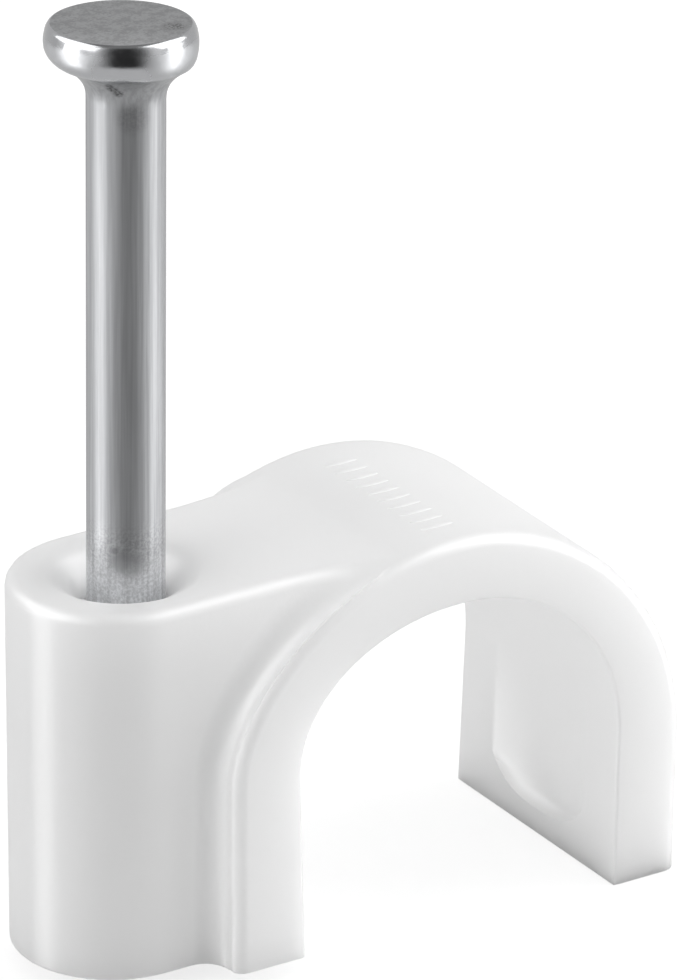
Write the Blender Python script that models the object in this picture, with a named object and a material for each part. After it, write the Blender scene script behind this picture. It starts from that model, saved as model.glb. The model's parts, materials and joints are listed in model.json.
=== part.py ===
"""Nail-in cable clip: a moulded plastic saddle with its nail standing in the boss, as supplied.

Metres, +Z up. X runs along the clip, with the nail boss at the low end and the free leg at the
high end, and Y runs through the cable channel. The origin is under the middle of the whole part,
on the plane of the free leg's foot.
"""

import math

import bmesh
import bpy
import numpy as np

MM = 0.001

# Cable channel
OPENING_WIDTH = 9.63 * MM
OPENING_HEIGHT = 9.14 * MM
ARCH_RISE_NAIL_SIDE = 3.65 * MM
ARCH_RISE_FREE_SIDE = 4.65 * MM
LEG_LEAN = 0.12 * MM
ARCH_FULLNESS = (0.588, 0.54)

# Strap round the cable
CROWN_THICKNESS = 1.79 * MM
NAIL_LEG_THICKNESS = 1.92 * MM
FREE_LEG_THICKNESS = 1.97 * MM
BACK_RADIUS = 6.95 * MM
FLANK_RISE = 5.42 * MM
FLANK_FULLNESS = (0.48, 0.5)
STRAP_DEPTH_AT_FOOT = 7.4 * MM
STRAP_DEPTH_AT_CROWN = 7.0 * MM
OUTER_EDGE_RADIUS = 0.34 * MM
INNER_EDGE_RADIUS = 0.1 * MM
FOOT_EDGE_RADIUS = 0.07 * MM

# Nail boss and the web that joins it to the strap
BOSS_LIFT = 0.46 * MM
BOSS_BELOW_CROWN = 0.26 * MM
BOSS_RIM_WALL = 0.62 * MM
BOSS_FLARE = 0.09 * MM
BOSS_FLARE_POWER = 1.7
BOSS_AHEAD_OF_NAIL = 0.43 * MM
BOSS_TOP_EDGE_RADIUS = 0.34 * MM
BOSS_FOOT_EDGE_RADIUS = 0.12 * MM
WEB_FILLET_RADIUS = 0.72 * MM
WEB_FILLET_SINK = 0.02 * MM
WEB_ROOT_SHARE = 0.25

# Nail
NAIL_RADIUS = 1.0 * MM
NAIL_LENGTH = 24.6 * MM
NAIL_TIP_ABOVE_BOSS_FOOT = 0.45 * MM
POINT_LENGTH = 2.6 * MM
POINT_FLAT = 0.06 * MM
HEAD_RADIUS = 1.93 * MM
HEAD_FACE_EDGE = 0.18 * MM
HEAD_BROW_HEIGHT = 0.5 * MM
HEAD_HEIGHT = 1.06 * MM
HEAD_FOOT_INSET = 0.3 * MM
HEAD_FOOT_SHIFT = -0.28
HEAD_ROUNDNESS = 1.2
HEAD_NECK_HEIGHT = 0.96 * MM
HEAD_NECK_POWER = 2.5
HEAD_OFFSET = 0.12 * MM
HEAD_TILT = math.radians(4.1)
HEAD_TILT_HEADING = math.radians(57.0)

# Nail's way through the boss
BORE_CLEARANCE = 0.06 * MM
COUNTERSINK_CLEARANCE = 0.14 * MM
COUNTERSINK_SEAT_STEP = 0.44 * MM
COUNTERSINK_RING_DEPTH = 0.26 * MM
COUNTERSINK_CONE_DEPTH = 0.7 * MM

# Scooped relief inside the free leg
SCOOP_HALF_WIDTH = 2.3 * MM
SCOOP_DEPTH = 0.36 * MM
SCOOP_ABOVE_FOOT = 0.68 * MM
SCOOP_ABOVE_SPRING = 1.5 * MM
SCOOP_LIP_RISE = 0.9 * MM
SCOOP_LIP_LENGTH = 0.55 * MM
SCOOP_FADE = 0.03 * MM
SCOOP_LIP_POWER = 3
SCOOP_FADE_POWER = 1.5

# Facets
ARCH_STEPS = 46
LEG_STEPS = 5
WEB_STEPS = 24
EDGE_STEPS = 4
ROUND_STEPS = 56
SMOOTH_ANGLE = math.radians(32.0)
OVERCUT = 0.8 * MM

# Places that follow from the sizes, along X from the nail's axis
BORE_RADIUS = NAIL_RADIUS + BORE_CLEARANCE
CHANNEL_LOW = BORE_RADIUS + NAIL_LEG_THICKNESS
CHANNEL_HIGH = CHANNEL_LOW + OPENING_WIDTH
CHANNEL_MIDDLE = (CHANNEL_LOW + CHANNEL_HIGH) / 2
SCOOP_TOP = OPENING_HEIGHT - ARCH_RISE_FREE_SIDE + SCOOP_ABOVE_SPRING
STRAP_TOP = OPENING_HEIGHT + CROWN_THICKNESS
FREE_SIDE = CHANNEL_HIGH + FREE_LEG_THICKNESS
BOSS_TOP = STRAP_TOP - BOSS_BELOW_CROWN
BOSS_HEIGHT = BOSS_TOP - BOSS_LIFT
RIM_RADIUS = HEAD_RADIUS + COUNTERSINK_CLEARANCE
BOSS_RADIUS_AT_TOP = RIM_RADIUS + BOSS_RIM_WALL
BOSS_END = BOSS_AHEAD_OF_NAIL + BOSS_RADIUS_AT_TOP
NAIL_TIP = BOSS_LIFT + NAIL_TIP_ABOVE_BOSS_FOOT
HEAD_TOP = NAIL_TIP + NAIL_LENGTH
PART_MIDDLE = (FREE_SIDE - BOSS_END) / 2


def clear_scene():
    for obj in list(bpy.data.objects):
        bpy.data.objects.remove(obj)


def material(name, colour, roughness, metallic):
    made = bpy.data.materials.new(name)
    made.use_nodes = True
    shader = made.node_tree.nodes["Principled BSDF"]
    shader.inputs["Base Color"].default_value = (*colour, 1.0)
    shader.inputs["Roughness"].default_value = roughness
    shader.inputs["Metallic"].default_value = metallic
    return made


def object_from(name, points, faces):
    """A mesh object with outward faces and its origin on the nail's axis, placed in the part."""
    mesh = bpy.data.meshes.new(name)
    mesh.from_pydata(points, [], faces)
    tidy = bmesh.new()
    tidy.from_mesh(mesh)
    bmesh.ops.recalc_face_normals(tidy, faces=tidy.faces)
    tidy.to_mesh(mesh)
    tidy.free()
    made = bpy.data.objects.new(name, mesh)
    made.location.x = -PART_MIDDLE
    bpy.context.scene.collection.objects.link(made)
    return made


def tube_faces(rings, size):
    """Quads between neighbouring rings of points, with a flat cap on each end."""
    faces = []
    for ring in range(rings - 1):
        for point in range(size):
            after = (point + 1) % size
            low = ring * size
            high = low + size
            faces.append((low + point, low + after, high + after, high + point))
    faces.append(tuple(range(size)))
    faces.append(tuple(range((rings - 1) * size, rings * size)))
    return faces


def lofted(name, rings):
    points = [point for ring in rings for point in ring]
    return object_from(name, points, tube_faces(len(rings), len(rings[0])))


def boolean(target, other, operation):
    modifier = target.modifiers.new(operation.title(), "BOOLEAN")
    modifier.operation = operation
    modifier.solver = "EXACT"
    modifier.object = other
    bpy.context.view_layer.update()
    with bpy.context.temp_override(object=target, active_object=target):
        bpy.ops.object.modifier_apply(modifier=modifier.name)
    bpy.data.objects.remove(other)


def shade(obj, finish):
    obj.data.materials.append(finish)
    for face in obj.data.polygons:
        face.use_smooth = True
    obj.data.set_sharp_from_angle(angle=SMOOTH_ANGLE)


def arc(centre, radius, start, end, steps):
    """Points along a circular arc in the XZ plane, both ends included."""
    turns = np.linspace(start, end, steps + 1)
    return np.stack([centre[0] + radius * np.cos(turns), centre[1] + radius * np.sin(turns)], axis=1)


def quarter(spring, apex, fullness):
    """A quarter arch, upright at its spring and level at its apex; a circle's fullness is 0.552."""
    upright = (spring[0], spring[1] + fullness[0] * (apex[1] - spring[1]))
    level = (apex[0] + fullness[1] * (spring[0] - apex[0]), apex[1])
    along = np.linspace(0.0, 1.0, ARCH_STEPS + 1)[:, None]
    back = 1.0 - along
    return (
        back**3 * np.array(spring)
        + 3 * back**2 * along * np.array(upright)
        + 3 * back * along**2 * np.array(level)
        + along**3 * np.array(apex)
    )


def spaced(curve, steps):
    """The curve as points at equal distances along it."""
    lengths = np.hypot(*np.diff(curve, axis=0).T)
    travelled = np.concatenate([[0.0], np.cumsum(lengths)])
    wanted = np.linspace(0.0, travelled[-1], steps + 1)
    return np.stack([np.interp(wanted, travelled, curve[:, axis]) for axis in (0, 1)], axis=1)


def inner_arch():
    """The channel's roof, from the nail side to the free side."""
    apex = (CHANNEL_MIDDLE, OPENING_HEIGHT)
    nail_side = quarter((CHANNEL_LOW, OPENING_HEIGHT - ARCH_RISE_NAIL_SIDE), apex, ARCH_FULLNESS)
    free_side = quarter((CHANNEL_HIGH, OPENING_HEIGHT - ARCH_RISE_FREE_SIDE), apex, ARCH_FULLNESS)
    return np.concatenate([nail_side, free_side[-2::-1]])


def outer_arch():
    """The strap's back: a flank that rises from the boss's side, then one round back."""
    back = (FREE_SIDE - BACK_RADIUS, STRAP_TOP - BACK_RADIUS)
    spring = (CHANNEL_LOW - NAIL_LEG_THICKNESS, STRAP_TOP - FLANK_RISE)
    flank = quarter(spring, (back[0], STRAP_TOP), FLANK_FULLNESS)
    return np.concatenate([flank, arc(back, BACK_RADIUS, math.pi / 2, 0.0, ARCH_STEPS)[1:]])


def wall(foot, spring, steps):
    """A leg's straight wall from its foot to the spring of the arch, without the spring."""
    return np.linspace(foot, spring, steps + 1)[:-1]


def strap_curves():
    """Matching points along the channel's roof and the strap's back, foot to foot."""
    inside = spaced(inner_arch(), ARCH_STEPS)
    outside = spaced(outer_arch(), ARCH_STEPS)
    inner_nail = wall((CHANNEL_LOW + LEG_LEAN, BOSS_LIFT), inside[0], LEG_STEPS)
    inner_free = wall((CHANNEL_HIGH - LEG_LEAN, 0.0), inside[-1], LEG_STEPS)
    outer_nail = wall((CHANNEL_LOW - NAIL_LEG_THICKNESS, BOSS_LIFT), outside[0], LEG_STEPS)
    outer_free = wall((FREE_SIDE - LEG_LEAN, 0.0), outside[-1], LEG_STEPS)
    inner = np.concatenate([inner_nail, inside, inner_free[::-1]])
    outer = np.concatenate([outer_nail, outside, outer_free[::-1]])
    return inner, outer


def half_depth(height):
    """Half the strap's depth at a height: the mould's draft opens it towards the feet."""
    share = min(max(height / STRAP_TOP, 0.0), 1.0)
    return (STRAP_DEPTH_AT_FOOT + (STRAP_DEPTH_AT_CROWN - STRAP_DEPTH_AT_FOOT) * share) / 2


def rounding(radius):
    """(inset, rise) pairs from the end of a rounded edge to its full section."""
    turns = [math.pi / 2 * step / EDGE_STEPS for step in range(EDGE_STEPS + 1)]
    return [(radius * (1 - math.sin(turn)), radius * (1 - math.cos(turn))) for turn in turns]


def strap_ring(inside, outside, shrink):
    """One closed section of the strap with rounded edges, pulled in on all sides by shrink."""
    across = outside - inside
    thickness = math.hypot(*across)
    direction = across / thickness
    corners = []
    for side in (-1, 1):
        outer = [(thickness - rise, inset, side) for inset, rise in rounding(OUTER_EDGE_RADIUS)]
        inner = [(rise, inset, side) for inset, rise in rounding(INNER_EDGE_RADIUS)]
        corners.append(inner + outer[::-1] if side < 0 else outer + inner[::-1])
    ring = []
    for along, inset, side in corners[0] + corners[1]:
        held = min(max(along, shrink), thickness - shrink)
        x, z = inside + direction * held
        ring.append((x, side * (half_depth(z) - inset - shrink), z))
    return ring


def strap():
    inner, outer = strap_curves()
    ends = rounding(FOOT_EDGE_RADIUS)
    rings = []
    for shrink, rise in ends[:-1]:
        rings.append(strap_ring(inner[0] + (0.0, rise), outer[0] + (0.0, rise), shrink))
    for inside, outside in zip(inner[1:-1], outer[1:-1]):
        rings.append(strap_ring(inside, outside, 0.0))
    for shrink, rise in ends[-2::-1]:
        rings.append(strap_ring(inner[-1] + (0.0, rise), outer[-1] + (0.0, rise), shrink))
    return lofted("clip_body", rings)


def boss_radius(height):
    share = min(max((height - BOSS_LIFT) / BOSS_HEIGHT, 0.0), 1.0)
    return BOSS_RADIUS_AT_TOP - BOSS_FLARE * (1 - share**BOSS_FLARE_POWER)


def web_levels():
    """(height, inset) of each level of the boss and web, from foot to top."""
    foot = rounding(BOSS_FOOT_EDGE_RADIUS)
    top = rounding(BOSS_TOP_EDGE_RADIUS)
    levels = [(BOSS_LIFT + rise, inset) for inset, rise in foot]
    low = BOSS_LIFT + BOSS_FOOT_EDGE_RADIUS
    high = BOSS_TOP - BOSS_TOP_EDGE_RADIUS
    levels += [(height, 0.0) for height in np.linspace(low, high, WEB_STEPS + 1)[1:-1]]
    levels += [(BOSS_TOP - rise, inset) for inset, rise in top[::-1]]
    return levels


def web_ring(height, inset, outer, middle):
    """One level of the boss and web: a round end, straight flanks and fillets into the strap."""
    half = boss_radius(height) - inset
    nail_half = outer[: np.argmax(outer[:, 1]) + 1]
    surface = np.interp(height, nail_half[:, 1], nail_half[:, 0])
    rise = BOSS_HEIGHT / ARCH_STEPS
    lean = (np.interp(height + rise, nail_half[:, 1], nail_half[:, 0]) - surface) / rise
    stretch = math.hypot(1.0, lean)
    middle_half = middle[: np.argmax(middle[:, 1]) + 1]
    limit = np.interp(BOSS_TOP, nail_half[:, 1], nail_half[:, 0]) + CROWN_THICKNESS * WEB_ROOT_SHARE
    buried = min(np.interp(height, middle_half[:, 1], middle_half[:, 0]), limit)
    flank = [(buried, half + WEB_FILLET_RADIUS)]
    for step in range(2 * EDGE_STEPS + 1):
        turn = math.pi / 2 * step / (2 * EDGE_STEPS)
        away = WEB_FILLET_RADIUS - WEB_FILLET_SINK - WEB_FILLET_RADIUS * math.cos(turn)
        out = WEB_FILLET_RADIUS * (1 - math.sin(turn))
        flank.append((surface - away * stretch, half + out))
    turns = [math.pi / 2 + math.pi * step / ROUND_STEPS * 2 for step in range(ROUND_STEPS // 2 + 1)]
    end = [(-BOSS_AHEAD_OF_NAIL + half * math.cos(turn), half * math.sin(turn)) for turn in turns]
    outline = flank + end + [(x, -y) for x, y in flank[::-1]]
    return [(x, y, height) for x, y in outline]


def boss_and_web():
    inner, outer = strap_curves()
    middle = (inner + outer) / 2
    return lofted("boss_and_web", [web_ring(height, inset, outer, middle) for height, inset in web_levels()])


def turned(name, profile, centre=(0.0, 0.0)):
    """A closed solid of revolution from (radius, height) pairs, low to high."""
    rings = []
    for radius, height in profile:
        turns = [2 * math.pi * step / ROUND_STEPS for step in range(ROUND_STEPS)]
        rings.append([
            (centre[0] + radius * math.cos(turn), centre[1] + radius * math.sin(turn), height)
            for turn in turns
        ])
    return lofted(name, rings)


def head_centre():
    """The headed end sits off the shaft's axis, and the mould's countersink with it."""
    heading = HEAD_TILT_HEADING + math.pi / 2
    return HEAD_OFFSET * math.cos(heading), HEAD_OFFSET * math.sin(heading)


def bore_cutter():
    return turned("bore_cutter", [(BORE_RADIUS, -OVERCUT), (BORE_RADIUS, BOSS_TOP + OVERCUT)])


def countersink_cutter():
    seat = RIM_RADIUS - COUNTERSINK_SEAT_STEP
    slope = COUNTERSINK_SEAT_STEP / COUNTERSINK_RING_DEPTH
    profile = [
        (NAIL_RADIUS + BORE_CLEARANCE / 2, BOSS_TOP - COUNTERSINK_RING_DEPTH - COUNTERSINK_CONE_DEPTH),
        (seat, BOSS_TOP - COUNTERSINK_RING_DEPTH),
        (RIM_RADIUS + slope * OVERCUT, BOSS_TOP + OVERCUT),
    ]
    return turned("countersink_cutter", profile, head_centre())


def scoop_section(across):
    """(height, depth) up one slice of the scoop, at a share of its half width from the middle."""
    lip = SCOOP_ABOVE_FOOT + SCOOP_LIP_RISE * abs(across) ** SCOOP_LIP_POWER
    lip_end = lip + SCOOP_LIP_LENGTH
    deepest = (SCOOP_DEPTH + SCOOP_FADE) * (1 - across**2)
    section = []
    for share in np.linspace(0.0, 1.0, EDGE_STEPS + 1):
        section.append((lip + SCOOP_LIP_LENGTH * share, deepest * math.sqrt(1 - (1 - share) ** 2)))
    for share in np.linspace(0.0, 1.0, 2 * EDGE_STEPS + 1)[1:]:
        height = lip_end + (SCOOP_TOP - lip_end) * share
        section.append((height, deepest * (1 - share**SCOOP_FADE_POWER)))
    return section


def scoop_cutter():
    """A pillow that leaves a shallow hollow in the free leg, deepest just above a short lip."""
    inner = strap_curves()[0]
    free_wall = inner[np.argmax(inner[:, 1]):][::-1]
    near = np.interp(SCOOP_TOP, free_wall[:, 1], free_wall[:, 0]) - OVERCUT
    rings = []
    for across in np.linspace(-1.0, 1.0, 4 * EDGE_STEPS + 1):
        y = across * SCOOP_HALF_WIDTH
        section = scoop_section(across)
        ring = [(near, y, section[0][0])]
        for height, depth in section:
            face = np.interp(height, free_wall[:, 1], free_wall[:, 0])
            ring.append((face + depth - SCOOP_FADE, y, height))
        ring.append((near, y, section[-1][0]))
        rings.append(ring)
    return lofted("scoop_cutter", rings)


def clip_body(finish):
    body = strap()
    boolean(body, boss_and_web(), "UNION")
    boolean(body, bore_cutter(), "DIFFERENCE")
    boolean(body, countersink_cutter(), "DIFFERENCE")
    boolean(body, scoop_cutter(), "DIFFERENCE")
    shade(body, finish)
    return body


def nail_profile():
    """(radius, height, share of the head's offset, of its tilt) up the nail, from neck to face."""
    head_foot = HEAD_TOP - HEAD_HEIGHT
    foot_radius = HEAD_RADIUS - HEAD_FOOT_INSET
    profile = []
    for share in np.linspace(0.0, 1.0, 2 * EDGE_STEPS + 1):
        radius = NAIL_RADIUS + (foot_radius - NAIL_RADIUS) * share**HEAD_NECK_POWER
        height = head_foot - HEAD_NECK_HEIGHT * (1 - share)
        profile.append((radius, height, HEAD_FOOT_SHIFT * share, share))
    for turn in np.linspace(0.0, math.pi / 2, 2 * EDGE_STEPS + 1)[1:]:
        inset = 1 - math.sin(turn) ** HEAD_ROUNDNESS
        height = head_foot + (HEAD_HEIGHT - HEAD_BROW_HEIGHT) * (1 - math.cos(turn))
        aside = 1 - (1 - HEAD_FOOT_SHIFT) * inset
        profile.append((HEAD_RADIUS - HEAD_FOOT_INSET * inset, height, aside, 1.0))
    for turn in np.linspace(0.0, math.pi / 2, 2 * EDGE_STEPS + 1)[1:]:
        radius = HEAD_RADIUS - HEAD_FACE_EDGE * (1 - math.cos(turn))
        profile.append((radius, HEAD_TOP - HEAD_BROW_HEIGHT * (1 - math.sin(turn)), 1.0, 1.0))
    return profile


def nail(finish):
    rings = []
    turns = [2 * math.pi * step / ROUND_STEPS for step in range(ROUND_STEPS)]
    for step in range(2 * EDGE_STEPS + 1):
        share = step / (2 * EDGE_STEPS)
        flat = POINT_FLAT + (NAIL_RADIUS - POINT_FLAT) * share
        ring = []
        for turn in turns:
            square = flat / max(abs(math.cos(turn)), abs(math.sin(turn)))
            radius = min(NAIL_RADIUS, square)
            ring.append((radius * math.cos(turn), radius * math.sin(turn), NAIL_TIP + POINT_LENGTH * share))
        rings.append(ring)
    centre = head_centre()
    for radius, height, aside, tilted in nail_profile():
        ring = []
        for turn in turns:
            fall = math.tan(HEAD_TILT) * math.cos(turn - HEAD_TILT_HEADING) * radius
            x = radius * math.cos(turn) + centre[0] * aside
            y = radius * math.sin(turn) + centre[1] * aside
            ring.append((x, y, height - fall * tilted))
        rings.append(ring)
    made = lofted("nail", rings)
    shade(made, finish)
    return made


def main():
    clear_scene()
    plastic = material("moulded_polyethylene", (0.86, 0.86, 0.86), 0.42, 0.0)
    steel = material("zinc_plated_wire", (0.55, 0.56, 0.57), 0.38, 1.0)
    clip_body(plastic)
    nail(steel)


main()
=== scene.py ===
import json
import math

import bpy
from mathutils import Matrix, Vector

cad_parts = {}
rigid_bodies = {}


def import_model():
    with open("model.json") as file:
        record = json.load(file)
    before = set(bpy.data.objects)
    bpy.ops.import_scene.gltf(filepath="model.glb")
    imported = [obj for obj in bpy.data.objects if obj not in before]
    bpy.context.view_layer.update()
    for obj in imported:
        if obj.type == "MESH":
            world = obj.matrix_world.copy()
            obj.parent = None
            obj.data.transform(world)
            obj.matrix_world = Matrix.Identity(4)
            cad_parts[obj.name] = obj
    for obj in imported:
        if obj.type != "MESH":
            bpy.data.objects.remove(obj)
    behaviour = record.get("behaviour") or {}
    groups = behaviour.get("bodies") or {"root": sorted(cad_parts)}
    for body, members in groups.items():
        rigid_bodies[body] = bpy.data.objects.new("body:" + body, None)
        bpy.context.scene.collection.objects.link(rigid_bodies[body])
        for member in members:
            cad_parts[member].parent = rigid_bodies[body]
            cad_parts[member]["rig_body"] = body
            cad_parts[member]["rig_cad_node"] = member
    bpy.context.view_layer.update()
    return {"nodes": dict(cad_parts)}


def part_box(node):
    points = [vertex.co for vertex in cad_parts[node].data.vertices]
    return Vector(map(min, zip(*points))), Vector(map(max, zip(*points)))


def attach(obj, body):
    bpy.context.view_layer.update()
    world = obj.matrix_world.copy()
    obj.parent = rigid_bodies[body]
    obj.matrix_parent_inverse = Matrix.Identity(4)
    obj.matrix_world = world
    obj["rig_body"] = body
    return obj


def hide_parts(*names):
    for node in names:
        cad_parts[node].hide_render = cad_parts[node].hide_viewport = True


bl_info = {
    "name": "Nail-in cable clip",
    "version": (1, 0, 0),
    "blender": (4, 5, 0),
    "location": "View3D > Sidebar > Cable clip",
    "description": "Dresses a moulded cable clip and its nail, and sets the studio they stand in",
    "category": "Object",
}

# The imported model, which the looks are built around
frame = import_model()
_, CLIP_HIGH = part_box("clip_body")

MM = 0.001

# Where things are on the clip and the nail, in metres
SHAFT_FOOT = CLIP_HIGH.z - 0.26 * MM
HEAD_AXIS = Vector((0.0389, 0.0600, 0.9974))
HEAD_FACE = 25.21 * MM
HEAD_EQUATOR = HEAD_FACE - 0.5 * MM
HEAD_FOOT = HEAD_FACE - 1.06 * MM
MERGE_DISTANCE = 0.0001 * MM
FLAT_FACE_ANGLE = math.radians(0.5)

# The dark marks of the gripping dies under the head and above the boss: middle and reach in mm, and depth
DIE_MARKS = (
    (-6.78, -0.93, 24.37, 0.17, 0.7),
    (-6.64, -0.86, 24.22, 0.20, 0.75),
    (-6.50, -0.87, 24.09, 0.18, 0.7),
    (-6.10, -0.93, 23.35, 0.55, 0.2),
    (-6.47, -0.68, 11.60, 0.14, 0.4),
    (-6.35, -0.80, 11.30, 0.42, 0.3),
    (-6.08, -0.93, 11.20, 0.42, 0.25),
)
# The pitted nick in the head's face
NICK = Vector((-4.86, -0.88, 25.52)) * MM
NICK_REACH = 0.42 * MM
# The part of the rim that the die polished most
POLISHED = Vector((-6.82, -1.56, 24.88)) * MM
POLISHED_REACH = 1.05 * MM
# The level way along which light is painted on the head's face, lighter towards its front, and how far
# along it that starts and ends
PAINTED_LIGHT_SIDE = Vector((-0.543, -0.840, 0))
FACE_PAINTED_LIGHT_SPAN = (3.7 * MM, 4.6 * MM)
# Places on the nail, in metres from its shaft's foot, its head's foot or its head's equator
SPECKLED_FOOT = (1.9 * MM, 1.1 * MM)
# Where the painted reflection of the white boss on the shaft's foot starts and ends
PAINTED_REFLECTION_SPAN = (-0.1 * MM, 0.9 * MM)
HEAD_START = (-0.05 * MM, 0.1 * MM)
HEAD_PEEL_START = (-0.4 * MM, 0)
SHARP_RIM = (0.12 * MM, 0.3 * MM)
# The cosine of the turn from the head's axis at which its face starts and is full
FACE_TURN = (0.975, 0.995)

# The plating's noises: the size of a blot in metres, the detail, and where each starts and is full
MOTTLE = (0.3 * MM, 4)
SPECKLE = (0.07 * MM, 3)
LINE_DETAIL = 3
LINE_STRETCH = 0.02
NOISE_ROUGHNESS = 0.6
NOISE_SPAN = (0.35, 0.65)
BLOTCH_SPAN = (0.85, 1.15)
MARK_SPAN = (0.35, 0.6)
PIT_SPAN = (0.45, 0.6)
# The share of a mark's reach over which it is full
MARK_CORE = 0.4

# How light the zinc is against its own colour, from a pattern's dark to its light
STREAK_LIGHT = (0.88, 1.08)
SPECK_LIGHT = (0.86, 1.14)
# The foot's lightening is a painted reflection of the white boss
FOOT_PAINTED_REFLECTION = (1.5, 1)
EDGE_LIGHT = 1.28
BLOTCH_LIGHT = (0.7, 0.97)
# The face's lightening towards its front is painted light
FRONT_PAINTED_LIGHT = (0.97, 1.18)
MARK_DEPTH = (0.4, 1)
PIT_DEPTH = (0, 0.7)

# How rough the zinc's other places are, and the clear passivated skin over them
FOOT_ROUGHNESS = 0.48
FACE_ROUGHNESS = 0.42
DULL_RIM_ROUGHNESS = 0.36
RIM_UNEVENNESS = (0, 0.1)
COAT_WEIGHT = 0.4
COAT_ROUGHNESS = 0.12

# How strong each relief is, and the depth in metres that the bump gives it
WIRE_BUMP = (0.6, 0.01 * MM)
LINE_RELIEF = 0.3
RIM_RELIEF = 0.6
PEEL_RELIEF = 0.8
NICK_RELIEF = 3

# The plastic's skin: its mould grain's detail and bump, and its gloss
GRAIN_DETAIL = 3
GRAIN_ROUGHNESS = 0.55
GRAIN_BUMP = (0.12, 0.02 * MM)
SKIN_IOR = 1.75

# How sharp an edge stays sharp, and how far the larger faces lead the shading
CLIP_EDGE_ANGLE = math.radians(40)
NAIL_EDGE_ANGLE = math.radians(30)
FACE_WEIGHT = 70


def srgb_of(hex_code):
    """An sRGB hex value as red, green and blue from nothing to one."""
    return tuple(int(hex_code[i:i + 2], 16) / 255 for i in (1, 3, 5))


def to_linear(part):
    """One sRGB component as linear light."""
    if part <= 0.04045:
        return part / 12.92
    return ((part + 0.055) / 1.055) ** 2.4


def linear_colour(srgb):
    """An sRGB colour as linear red, green, blue and alpha."""
    return tuple(to_linear(part) for part in srgb) + (1,)


class ClipFinish(bpy.types.PropertyGroup):
    """Sizes and colours of the moulded clip."""

    colour: bpy.props.FloatVectorProperty(
        name="Plastic colour", description="Colour of the natural white polyethylene, in sRGB",
        subtype="COLOR_GAMMA", size=3, min=0, max=1, default=srgb_of("#F6F6F6"))
    roughness: bpy.props.FloatProperty(
        name="Roughness", description="How matt the moulded skin is", default=0.39, min=0, max=1)
    depth: bpy.props.FloatProperty(
        name="Translucent depth", description="How far light goes into the plastic",
        unit="LENGTH", default=2.8 * MM)
    grain: bpy.props.FloatProperty(
        name="Skin grain", description="Size of the spark-eroded grain that the mould leaves",
        unit="LENGTH", default=0.16 * MM)
    bar_length: bpy.props.FloatProperty(
        name="Bar length", description="Length of a raised grip bar on the crown",
        unit="LENGTH", default=0.95 * MM)
    bar_width: bpy.props.FloatProperty(
        name="Bar width", description="Width of a raised grip bar", unit="LENGTH", default=0.24 * MM)
    bar_height: bpy.props.FloatProperty(
        name="Bar height", description="How far a grip bar stands above the crown",
        unit="LENGTH", default=0.036 * MM)
    bar_pitch: bpy.props.FloatProperty(
        name="Bar pitch", description="Distance between two grip bars", unit="LENGTH", default=0.5 * MM)


class NailFinish(bpy.types.PropertyGroup):
    """Sizes and colours of the zinc-plated nail."""

    colour: bpy.props.FloatVectorProperty(
        name="Zinc colour", description="Colour of the zinc plating, in sRGB",
        subtype="COLOR_GAMMA", size=3, min=0, max=1, default=srgb_of("#ABACAE"))
    shaft_roughness: bpy.props.FloatProperty(
        name="Shaft roughness", description="How much the drawn lines blur the shaft's reflections",
        default=0.54, min=0, max=1)
    rim_roughness: bpy.props.FloatProperty(
        name="Rim roughness", description="How sharp the die-burnished rim of the head is",
        default=0.12, min=0, max=1)
    line_spacing: bpy.props.FloatProperty(
        name="Drawing line spacing", description="Distance between the lines that the drawing die leaves",
        unit="LENGTH", default=0.12 * MM)


class StudioSettings(bpy.types.PropertyGroup):
    """The camera, the lamps and the floor."""

    azimuth: bpy.props.FloatProperty(
        name="Azimuth", description="The camera's turn about the upright, from the front",
        subtype="ANGLE", default=math.radians(-32.872))
    elevation: bpy.props.FloatProperty(
        name="Elevation", description="The camera's height angle", subtype="ANGLE",
        default=math.radians(24.810))
    roll: bpy.props.FloatProperty(
        name="Roll", description="The camera's turn about its own axis", subtype="ANGLE",
        default=math.radians(0.482))
    distance: bpy.props.FloatProperty(
        name="Distance", description="From the camera to the point it looks at", unit="LENGTH",
        default=300 * MM)
    lens: bpy.props.FloatProperty(
        name="Focal length", description="The camera's focal length in millimetres", default=434.55)
    lamp_power: bpy.props.FloatProperty(
        name="Lamp power", description="Power of one side lamp", subtype="POWER", default=0.4)
    softbox_power: bpy.props.FloatProperty(
        name="Softbox power", description="Power of one of the wide boxes above the side lamps",
        subtype="POWER", default=0.5)
    fill_power: bpy.props.FloatProperty(
        name="Fill power",
        description="Power of the lamp behind on the right, which glows through the strap",
        subtype="POWER", default=0.62)
    key_power: bpy.props.FloatProperty(
        name="Key power", description="Power of the lamp above on the left", subtype="POWER", default=0.1)
    tent_back: bpy.props.FloatProperty(
        name="Tent back", description="Brightness of the tent's wall behind the clip", default=0.75, min=0)
    tent_flank: bpy.props.FloatProperty(
        name="Tent flank", description="Brightness of the tent beside the camera", default=1.16, min=0)
    tent_roof: bpy.props.FloatProperty(
        name="Tent roof", description="Brightness of the tent overhead", default=1.14, min=0)
    roof_shine: bpy.props.FloatProperty(
        name="Roof shine", description="Brightness of the tent overhead as the metal mirrors it",
        default=0.3, min=0)
    tent_floor: bpy.props.FloatProperty(
        name="Tent floor", description="Brightness of the white sweep below, as the metal mirrors it",
        default=0.88, min=0)
    opening: bpy.props.FloatProperty(
        name="Opening", description="Brightness of the opening that the camera looks through",
        default=0.045, min=0)


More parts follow.
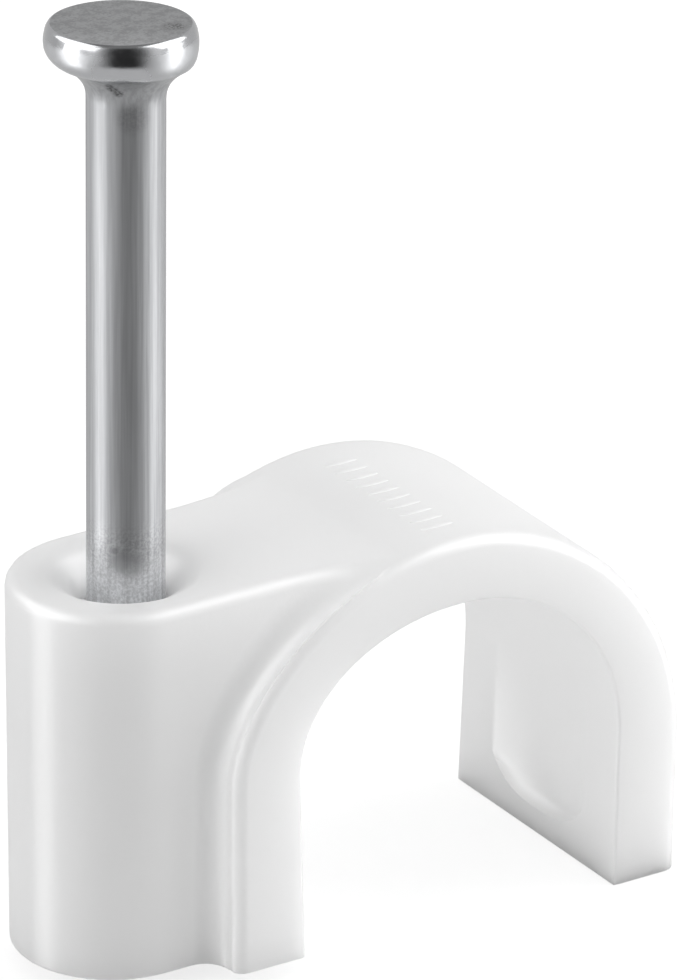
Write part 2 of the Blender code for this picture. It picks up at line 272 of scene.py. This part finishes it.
# The point that the camera looks at, and the lamps about it
LOOK_AT = Vector((0.653, 0, 11.291)) * MM
SENSOR = 36
NEAREST = 10 * MM
FARTHEST = 10
LAMP_DISTANCE = 300 * MM
LAMP_TURNS = (math.radians(-77), math.radians(88))
LAMP_SIDES = (130 * MM, 330 * MM)
LAMP_DROP = 80 * MM
BOX_TURNS = (math.radians(-91), math.radians(91))
BOX_HEIGHT_ANGLE = math.radians(38)
BOX_SIDES = (330 * MM, 270 * MM)
KEY_TURN = math.radians(-52)
KEY_HEIGHT_ANGLE = math.radians(28)
KEY_SIDES = (150 * MM, 150 * MM)
FILL_TURN = math.radians(105)
FILL_HEIGHT_ANGLE = math.radians(10)
FILL_SIDES = (200 * MM, 300 * MM)
FLOOR_SIZE = 2.0
FLOOR_DROP = 0.01 * MM
# How much of the floor's whiteness in the picture is its own, and how much its lighting
FLOOR_GLOW = 0.72
FLOOR_LIT = 0.4


def add_node(tree, kind, settings=None, inputs=None):
    """Adds a node with its settings, and its sockets' values or links."""
    node = tree.nodes.new(kind)
    for name, value in (settings or {}).items():
        setattr(node, name, value)
    for name, value in (inputs or {}).items():
        if isinstance(value, bpy.types.NodeSocket):
            tree.links.new(value, node.inputs[name])
        else:
            node.inputs[name].default_value = value
    return node


def new_material(name):
    """A material with an empty node tree."""
    made = bpy.data.materials.new(name)
    made.use_nodes = True
    made.node_tree.nodes.clear()
    return made


def finish_material(made, shader):
    """Joins the shader to the material's output."""
    add_node(made.node_tree, "ShaderNodeOutputMaterial", inputs={"Surface": shader.outputs[0]})
    return made


def moulded_polyethylene(sizes):
    """White polyethylene, injection moulded."""
    # The skin is waxy, with soft broad glints; light goes in below it and comes out again softly
    made = new_material("moulded_polyethylene")
    tree = made.node_tree
    place = add_node(tree, "ShaderNodeTexCoord").outputs["Object"]
    grain = noise(tree, place, sizes.grain, GRAIN_DETAIL, GRAIN_ROUGHNESS)
    bump = bumped(tree, GRAIN_BUMP, grain)
    shader = add_node(tree, "ShaderNodeBsdfPrincipled", inputs={
        "Base Color": linear_colour(sizes.colour), "Roughness": sizes.roughness,
        "IOR": SKIN_IOR, "Specular IOR Level": 1, "Normal": bump,
        "Subsurface Weight": 1, "Subsurface Radius": (1, 1, 1), "Subsurface Scale": sizes.depth})
    return finish_material(made, shader)


def plated_wire(sizes):
    """Steel wire, cold drawn and headed, then bright zinc plated and passivated."""
    # The shaft's fine drawn lines blur what it mirrors, under the clear skin's narrow glints.
    # The head's rim is burnished by its die and mirrors sharply, and its face is dull and pitted.
    made = new_material("zinc_plated_wire")
    tree = made.node_tree
    place = add_node(tree, "ShaderNodeTexCoord").outputs["Object"]
    height = add_node(tree, "ShaderNodeSeparateXYZ", inputs={0: place}).outputs["Z"]
    rise = dot(tree, place, HEAD_AXIS)
    facing = add_node(tree, "ShaderNodeNewGeometry").outputs["Normal"]
    on_face = soft_step(tree, dot(tree, facing, HEAD_AXIS), *FACE_TURN, 0, 1)
    near_foot = soft_step(tree, height, *from_place(SHAFT_FOOT, SPECKLED_FOOT), 0, 1)
    mottle = noise(tree, place, *MOTTLE)
    speckle = noise(tree, place, *SPECKLE)
    lengthwise = add_node(tree, "ShaderNodeMapping", inputs={
        "Vector": place, "Scale": (1, 1, LINE_STRETCH)})
    lines = noise(tree, lengthwise.outputs["Vector"], sizes.line_spacing, LINE_DETAIL)
    nick = near(tree, place, NICK, NICK_REACH)
    polished = near(tree, place, POLISHED, POLISHED_REACH)
    on_head = soft_step(tree, rise, *from_place(HEAD_FOOT, HEAD_START), 0, 1)
    # The shaft's tone carries a painted reflection of the white boss at its foot
    shaft_light = shaft_tone_with_painted_reflection(tree, height, near_foot, speckle, lines)
    edge_light = mixed(tree, on_head, shaft_light, EDGE_LIGHT)
    # The head's face carries painted light, lighter towards its front
    light = mixed(tree, on_face, edge_light, face_blotches_and_painted_light(tree, place, mottle, speckle))
    light = times(tree, light, mixed(tree, wire_marks(tree, place, nick, speckle), 1, 0))
    colour = add_node(tree, "ShaderNodeVectorMath", {"operation": "SCALE"}, {
        0: linear_colour(sizes.colour)[:3], "Scale": light}).outputs[0]
    rim = rim_roughness(tree, sizes, rise, polished, mottle)
    shaft = mixed(tree, near_foot, sizes.shaft_roughness, FOOT_ROUGHNESS)
    roughness = mixed(tree, on_face, mixed(tree, on_head, shaft, rim), FACE_ROUGHNESS)
    relief = wire_relief(tree, rise, on_face, near_foot, nick, mottle, speckle, lines)
    shader = add_node(tree, "ShaderNodeBsdfPrincipled", inputs={
        "Base Color": colour, "Metallic": 1, "Roughness": roughness,
        "Normal": bumped(tree, WIRE_BUMP, relief),
        "Coat Weight": COAT_WEIGHT, "Coat Roughness": COAT_ROUGHNESS})
    return finish_material(made, shader)


def shaft_tone_with_painted_reflection(tree, height, near_foot, speckle, lines):
    """How light the shaft's zinc is: streaked by the die, speckled, and brightened at its foot by a
    painted reflection of the white boss.
    """
    streaks = soft_step(tree, lines, *NOISE_SPAN, *STREAK_LIGHT)
    specks = mixed(tree, near_foot, 1, soft_step(tree, speckle, *NOISE_SPAN, *SPECK_LIGHT))
    # Painted reflection: the zinc is painted lighter just above the boss
    foot = soft_step(tree, height, *from_place(SHAFT_FOOT, PAINTED_REFLECTION_SPAN), *FOOT_PAINTED_REFLECTION)
    return times(tree, times(tree, streaks, specks), foot)


def face_blotches_and_painted_light(tree, place, mottle, speckle):
    """How light the head's face is: dull and blotchy, with painted light that makes it lighter towards its
    front.
    """
    blotches = soft_step(tree, add_two(tree, mottle, speckle), *BLOTCH_SPAN, *BLOTCH_LIGHT)
    # Painted light: the face grows lighter along the level way towards its front
    return times(tree, blotches, soft_step(tree, dot(tree, place, PAINTED_LIGHT_SIDE), *FACE_PAINTED_LIGHT_SPAN, *FRONT_PAINTED_LIGHT))


def wire_marks(tree, place, nick, speckle):
    """How dark the gripping dies' marks and the face's pits are."""
    marks = 0.0
    for x, y, z, reach, depth in DIE_MARKS:
        mark = near(tree, place, Vector((x, y, z)) * MM, reach * MM)
        marks = most(tree, marks, times(tree, mark, depth))
    marks = times(tree, marks, soft_step(tree, speckle, *MARK_SPAN, *MARK_DEPTH))
    pits = times(tree, nick, soft_step(tree, speckle, *PIT_SPAN, *PIT_DEPTH))
    return most(tree, marks, pits)


def rim_roughness(tree, sizes, rise, polished, mottle):
    """The roughness of the head's rim, sharp round its top and where the die polished it."""
    top = soft_step(tree, rise, *from_place(HEAD_EQUATOR, SHARP_RIM), 0, 1)
    sharp = most(tree, polished, top)
    uneven = soft_step(tree, mottle, *NOISE_SPAN, *RIM_UNEVENNESS)
    return add_two(tree, mixed(tree, sharp, DULL_RIM_ROUGHNESS, sizes.rim_roughness), uneven)


def wire_relief(tree, rise, on_face, near_foot, nick, mottle, speckle, lines):
    """The relief of the drawn lines, the face's orange peel, its nick and the scuffed foot."""
    on_head = soft_step(tree, rise, *from_place(HEAD_FOOT, HEAD_PEEL_START), 0, 1)
    shaft = mixed(tree, near_foot, times(tree, lines, LINE_RELIEF), speckle)
    rim = times(tree, mottle, RIM_RELIEF)
    head = mixed(tree, on_face, rim, times(tree, speckle, PEEL_RELIEF))
    pits = times(tree, times(tree, nick, speckle), NICK_RELIEF)
    return add_two(tree, mixed(tree, on_head, shaft, head), pits)


def from_place(place, span):
    """Where a span starts and ends, when it is given from a place."""
    return tuple(place + part for part in span)


def bumped(tree, bump, height):
    """The normal of a surface that a height has roughened, by a bump's strength and depth."""
    strength, depth = bump
    return add_node(tree, "ShaderNodeBump", inputs={
        "Strength": strength, "Distance": depth, "Height": height}).outputs["Normal"]


def mixed(tree, share, first, second):
    """Goes from the first value to the second by a share."""
    return add_node(tree, "ShaderNodeMix", inputs={0: share, 2: first, 3: second}).outputs[0]


def calculated(tree, operation, first, second):
    """Two values put through one operation."""
    return add_node(tree, "ShaderNodeMath", {"operation": operation}, {0: first, 1: second}).outputs[0]


def times(tree, first, second):
    """The product of two values."""
    return calculated(tree, "MULTIPLY", first, second)


def add_two(tree, first, second):
    """The sum of two values."""
    return calculated(tree, "ADD", first, second)


def most(tree, first, second):
    """The larger of two values."""
    return calculated(tree, "MAXIMUM", first, second)


def dot(tree, vector, direction):
    """How far a vector goes along a direction."""
    return add_node(tree, "ShaderNodeVectorMath", {"operation": "DOT_PRODUCT"}, {
        0: vector, 1: direction}).outputs["Value"]


def noise(tree, place, size, detail, roughness=NOISE_ROUGHNESS):
    """Soft noise whose blots are about as large as a size."""
    return add_node(tree, "ShaderNodeTexNoise", inputs={
        "Vector": place, "Scale": 1 / size, "Detail": detail, "Roughness": roughness}).outputs["Fac"]


def near(tree, place, middle, reach):
    """Goes to one at a point and to nothing at a distance from it."""
    away = add_node(tree, "ShaderNodeVectorMath", {"operation": "DISTANCE"}, {0: place, 1: middle})
    return soft_step(tree, away.outputs["Value"], MARK_CORE * reach, reach, 1, 0)


def select_only(piece):
    """Selects one object and makes it the active one."""
    bpy.ops.object.select_all(action="DESELECT")
    piece.select_set(True)
    bpy.context.view_layer.objects.active = piece


def apply_modifier(piece, kind, **settings):
    """Adds a modifier with its settings and applies it."""
    select_only(piece)
    added = piece.modifiers.new(kind.title(), kind)
    for name, value in settings.items():
        setattr(added, name, value)
    bpy.ops.object.modifier_apply(modifier=added.name)


def merged_copy(node_name, piece_name):
    """A copy of a CAD node as one closed mesh, with its flat faces whole again."""
    select_only(frame["nodes"][node_name])
    bpy.ops.object.duplicate()
    piece = bpy.context.object
    piece.parent = None
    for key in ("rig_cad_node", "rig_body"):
        del piece[key]
    piece.name = piece_name
    piece.data.name = piece_name
    piece.data.materials.clear()
    if piece.data.has_custom_normals:
        bpy.ops.mesh.customdata_custom_splitnormals_clear()
    bpy.ops.object.mode_set(mode="EDIT")
    bpy.ops.mesh.select_all(action="SELECT")
    bpy.ops.mesh.remove_doubles(threshold=MERGE_DISTANCE)
    bpy.ops.mesh.dissolve_limited(angle_limit=FLAT_FACE_ANGLE)
    bpy.ops.object.mode_set(mode="OBJECT")
    return piece


def smooth_by_angle(piece, angle):
    """Smooth shading that keeps the edges sharper than the angle, led by the larger faces."""
    select_only(piece)
    bpy.ops.object.shade_smooth_by_angle(angle=angle, keep_sharp_edges=False)
    apply_modifier(piece, "WEIGHTED_NORMAL", keep_sharp=True, weight=FACE_WEIGHT)


def dress(piece, made, body):
    """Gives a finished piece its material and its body."""
    piece.data.materials.append(made)
    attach(piece, body)


# The row of grip bars along the crown, in metres
CROWN_BAR_X = 2.02 * MM
CROWN_BAR_MIDDLE = -0.15 * MM
CROWN_BAR_COUNT = 10
# A bar is the cap of a flattened ball, sunk in the crown by a share of its half height
BAR_SINK = 0.3
BAR_SEGMENTS = 32
BAR_RINGS = 24


class ClipMoulding(bpy.types.Operator):
    """Makes the moulded clip: the strap with its crown's grip bars, the nail boss and the web."""

    bl_idname = "cable_clip.moulding"
    bl_label = "Clip moulding"

    def execute(self, context):
        sizes = context.scene.cable_clip_finish
        piece = merged_copy("clip_body", "clip_moulding")
        for row in range(CROWN_BAR_COUNT):
            y = CROWN_BAR_MIDDLE + (row - (CROWN_BAR_COUNT - 1) / 2) * sizes.bar_pitch
            self.add_bar(piece, Vector((CROWN_BAR_X, y, CLIP_HIGH.z + MM)), sizes)
        smooth_by_angle(piece, CLIP_EDGE_ANGLE)
        dress(piece, moulded_polyethylene(sizes), "clip")
        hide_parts("clip_body")
        return {"FINISHED"}

    def add_bar(self, crown, above, sizes):
        """One soft-edged bar, set square on the crown's surface and moulded in one with it."""
        found, point, normal, _ = crown.ray_cast(above, Vector((0, 0, -1)))
        if not found:
            raise RuntimeError("A grip bar finds no crown below it")
        turn = Vector((0, 0, 1)).rotation_difference(normal)
        height = sizes.bar_height / (1 - BAR_SINK)
        spread = 2 * math.sqrt(1 - BAR_SINK ** 2)
        bpy.ops.mesh.primitive_uv_sphere_add(segments=BAR_SEGMENTS, ring_count=BAR_RINGS, radius=1)
        bar = bpy.context.object
        middle = Matrix.Translation(point - normal * height * BAR_SINK)
        bar.matrix_world = middle @ turn.to_matrix().to_4x4() @ Matrix.Diagonal(
            (sizes.bar_length / spread, sizes.bar_width / spread, height, 1))
        select_only(bar)
        bpy.ops.object.transform_apply(location=True, rotation=True, scale=True)
        apply_modifier(crown, "BOOLEAN", operation="UNION", solver="EXACT", object=bar)
        bpy.data.objects.remove(bar)


class DressedNail(bpy.types.Operator):
    """Makes the nail: its cold-headed head, drawn shaft and cut point."""

    bl_idname = "cable_clip.nail"
    bl_label = "Nail"

    def execute(self, context):
        sizes = context.scene.nail_finish
        piece = merged_copy("nail", "dressed_nail")
        smooth_by_angle(piece, NAIL_EDGE_ANGLE)
        dress(piece, plated_wire(sizes), "nail")
        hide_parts("nail")
        return {"FINISHED"}


class Studio(bpy.types.Operator):
    """Sets the camera, the lamps, the white tent and the pale floor."""

    bl_idname = "cable_clip.studio"
    bl_label = "Studio"

    def execute(self, context):
        settings = context.scene.clip_studio
        self.camera(context, settings)
        self.floor()
        self.tent(context, settings)
        # The side lamps and boxes only give the glints, and the fill only the glow
        for side in (0, 1):
            towards = direction_to(settings.azimuth + LAMP_TURNS[side], 0)
            lamp = self.lamp(f"side_lamp_{side}", towards, LAMP_SIDES, settings.lamp_power)
            lamp.location.z -= LAMP_DROP
            lamp.visible_diffuse = False
            towards = direction_to(settings.azimuth + BOX_TURNS[side], BOX_HEIGHT_ANGLE)
            box = self.lamp(f"softbox_{side}", towards, BOX_SIDES, settings.softbox_power)
            box.visible_diffuse = False
        towards = direction_to(settings.azimuth + KEY_TURN, KEY_HEIGHT_ANGLE)
        self.lamp("key_lamp", towards, KEY_SIDES, settings.key_power)
        towards = direction_to(settings.azimuth + FILL_TURN, FILL_HEIGHT_ANGLE)
        fill = self.lamp("fill_lamp", towards, FILL_SIDES, settings.fill_power)
        fill.visible_glossy = False
        context.scene.view_settings.view_transform = "Standard"
        return {"FINISHED"}

    def camera(self, context, settings):
        """The camera, on a sphere about the point it looks at."""
        back = direction_to(settings.azimuth, settings.elevation)
        bpy.ops.object.camera_add()
        made = context.object
        made.name = "camera"
        made.data.lens = settings.lens
        made.data.sensor_width = SENSOR
        made.data.clip_start = NEAREST
        made.data.clip_end = FARTHEST
        turn = back.to_track_quat("Z", "Y").to_matrix().to_4x4()
        roll = Matrix.Rotation(settings.roll, 4, "Z")
        made.matrix_world = Matrix.Translation(LOOK_AT + back * settings.distance) @ turn @ roll
        context.scene.camera = made

    def lamp(self, name, towards, sides, power):
        """One soft lamp that faces the clip."""
        bpy.ops.object.light_add(type="AREA")
        made = bpy.context.object
        made.name = name
        made.data.shape = "RECTANGLE"
        made.data.size, made.data.size_y = sides
        made.data.energy = power
        turn = towards.to_track_quat("Z", "Y").to_matrix().to_4x4()
        made.matrix_world = Matrix.Translation(LOOK_AT + towards * LAMP_DISTANCE) @ turn
        return made

    def floor(self):
        """The pale floor that the clip stands on."""
        bpy.ops.mesh.primitive_plane_add(size=FLOOR_SIZE, location=(0, 0, -FLOOR_DROP))
        made = bpy.context.object
        made.name = "floor"
        made.data.materials.append(pale_floor())
        made.visible_glossy = False

    def tent(self, context, settings):
        """The white tent as the world: plain white to the eye, and uneven in glints and as light."""
        world = bpy.data.worlds.new("white_tent")
        world.use_nodes = True
        context.scene.world = world
        tree = world.node_tree
        tree.nodes.clear()
        path = add_node(tree, "ShaderNodeLightPath")
        seen = add_node(tree, "ShaderNodeMix", inputs={
            0: path.outputs["Is Camera Ray"], 2: tent_wall(tree, settings), 3: 1.0})
        backdrop = add_node(tree, "ShaderNodeBackground", inputs={"Strength": seen.outputs[0]})
        add_node(tree, "ShaderNodeOutputWorld", inputs={"Surface": backdrop.outputs[0]})


def direction_to(azimuth, elevation):
    """The unit vector to a place seen at these angles from the clip."""
    return Vector((math.sin(azimuth) * math.cos(elevation),
                   -math.cos(azimuth) * math.cos(elevation),
                   math.sin(elevation)))


# Turns away from the camera's side, and height angles, at which the tent's brightness changes
OPENING_TURN = math.radians(8)
OPENING_EDGE = (math.radians(8), math.radians(50))
OPENING_FOOT = (math.radians(-38), math.radians(-25))
FLANK_EDGE = (math.radians(92), math.radians(120))
ROOF_EDGE = (math.radians(35), math.radians(65))
SWEEP_EDGE = (math.radians(-30), math.radians(-14))


def tent_wall(tree, settings):
    """The tent's brightness by direction: back, flanks, sweep below, opening in front and roof."""
    way = add_node(tree, "ShaderNodeTexCoord").outputs["Generated"]
    level = add_node(tree, "ShaderNodeVectorMath", {"operation": "MULTIPLY"}, {0: way, 1: (1, 1, 0)})
    flat = add_node(tree, "ShaderNodeVectorMath", {"operation": "NORMALIZE"}, {0: level.outputs[0]})
    facing = dot(tree, flat.outputs[0], direction_to(settings.azimuth + OPENING_TURN, 0))
    height = add_node(tree, "ShaderNodeSeparateXYZ", inputs={0: way}).outputs["Z"]
    low, high = sorted(math.cos(angle) for angle in FLANK_EDGE)
    walls = soft_step(tree, facing, low, high, settings.tent_back, settings.tent_flank)
    low, high = (math.sin(angle) for angle in SWEEP_EDGE)
    walls = soft_step(tree, height, low, high, settings.tent_floor, walls)
    low, high = sorted(math.cos(angle) for angle in OPENING_EDGE)
    in_front = soft_step(tree, facing, low, high, 0, 1)
    low, high = (math.sin(angle) for angle in OPENING_FOOT)
    open_front = soft_step(tree, height, low, high, 0, in_front)
    walls = mixed(tree, open_front, walls, settings.opening)
    shiny = add_node(tree, "ShaderNodeLightPath").outputs["Is Glossy Ray"]
    roof = mixed(tree, shiny, settings.tent_roof, settings.roof_shine)
    low, high = (math.sin(angle) for angle in ROOF_EDGE)
    return soft_step(tree, height, low, high, walls, roof)


def soft_step(tree, value, low, high, below, above):
    """Goes smoothly from one strength to another as a value goes from low to high."""
    return add_node(tree, "ShaderNodeMapRange", {"interpolation_type": "SMOOTHSTEP"}, {
        "Value": value, "From Min": low, "From Max": high,
        "To Min": below, "To Max": above}).outputs["Result"]


def pale_floor():
    """Matt white board, whose own white shows in the picture while it keeps the clip's shadow."""
    made = new_material("pale_floor")
    tree = made.node_tree
    path = add_node(tree, "ShaderNodeLightPath")
    board = add_node(tree, "ShaderNodeBsdfDiffuse", inputs={"Color": linear_colour(srgb_of("#F2F2F2"))})
    lit = add_node(tree, "ShaderNodeBsdfDiffuse", inputs={
        "Color": (FLOOR_LIT, FLOOR_LIT, FLOOR_LIT, 1)})
    glow = add_node(tree, "ShaderNodeEmission", inputs={"Strength": FLOOR_GLOW})
    shown = add_node(tree, "ShaderNodeAddShader", inputs={0: lit.outputs[0], 1: glow.outputs[0]})
    both = add_node(tree, "ShaderNodeMixShader", inputs={
        0: path.outputs["Is Camera Ray"], 1: board.outputs[0], 2: shown.outputs[0]})
    return finish_material(made, both)


class ClipPanel(bpy.types.Panel):
    """Lists the clip's pieces and the studio in the sidebar."""

    bl_idname = "VIEW3D_PT_cable_clip"
    bl_label = "Cable clip"
    bl_space_type = "VIEW_3D"
    bl_region_type = "UI"
    bl_category = "Cable clip"

    def draw(self, context):
        for group, operators in (
                (context.scene.cable_clip_finish, (ClipMoulding,)),
                (context.scene.nail_finish, (DressedNail,)),
                (context.scene.clip_studio, (Studio,))):
            box = self.layout.box()
            for name in group.bl_rna.properties.keys():
                if name not in ("rna_type", "name"):
                    box.prop(group, name)
            for operator in operators:
                box.operator(operator.bl_idname)


CLASSES = (ClipFinish, NailFinish, StudioSettings, ClipMoulding, DressedNail, Studio, ClipPanel)


def register():
    for kind in CLASSES:
        bpy.utils.register_class(kind)
    bpy.types.Scene.cable_clip_finish = bpy.props.PointerProperty(type=ClipFinish)
    bpy.types.Scene.nail_finish = bpy.props.PointerProperty(type=NailFinish)
    bpy.types.Scene.clip_studio = bpy.props.PointerProperty(type=StudioSettings)


def unregister():
    del bpy.types.Scene.clip_studio
    del bpy.types.Scene.nail_finish
    del bpy.types.Scene.cable_clip_finish
    for kind in reversed(CLASSES):
        bpy.utils.unregister_class(kind)


def main():
    """Makes every piece and the studio."""
    register()
    bpy.ops.object.select_all(action="DESELECT")
    bpy.ops.cable_clip.moulding()
    bpy.ops.cable_clip.nail()
    bpy.ops.cable_clip.studio()
    bpy.context.view_layer.update()


if __name__ == "__main__":
    main()
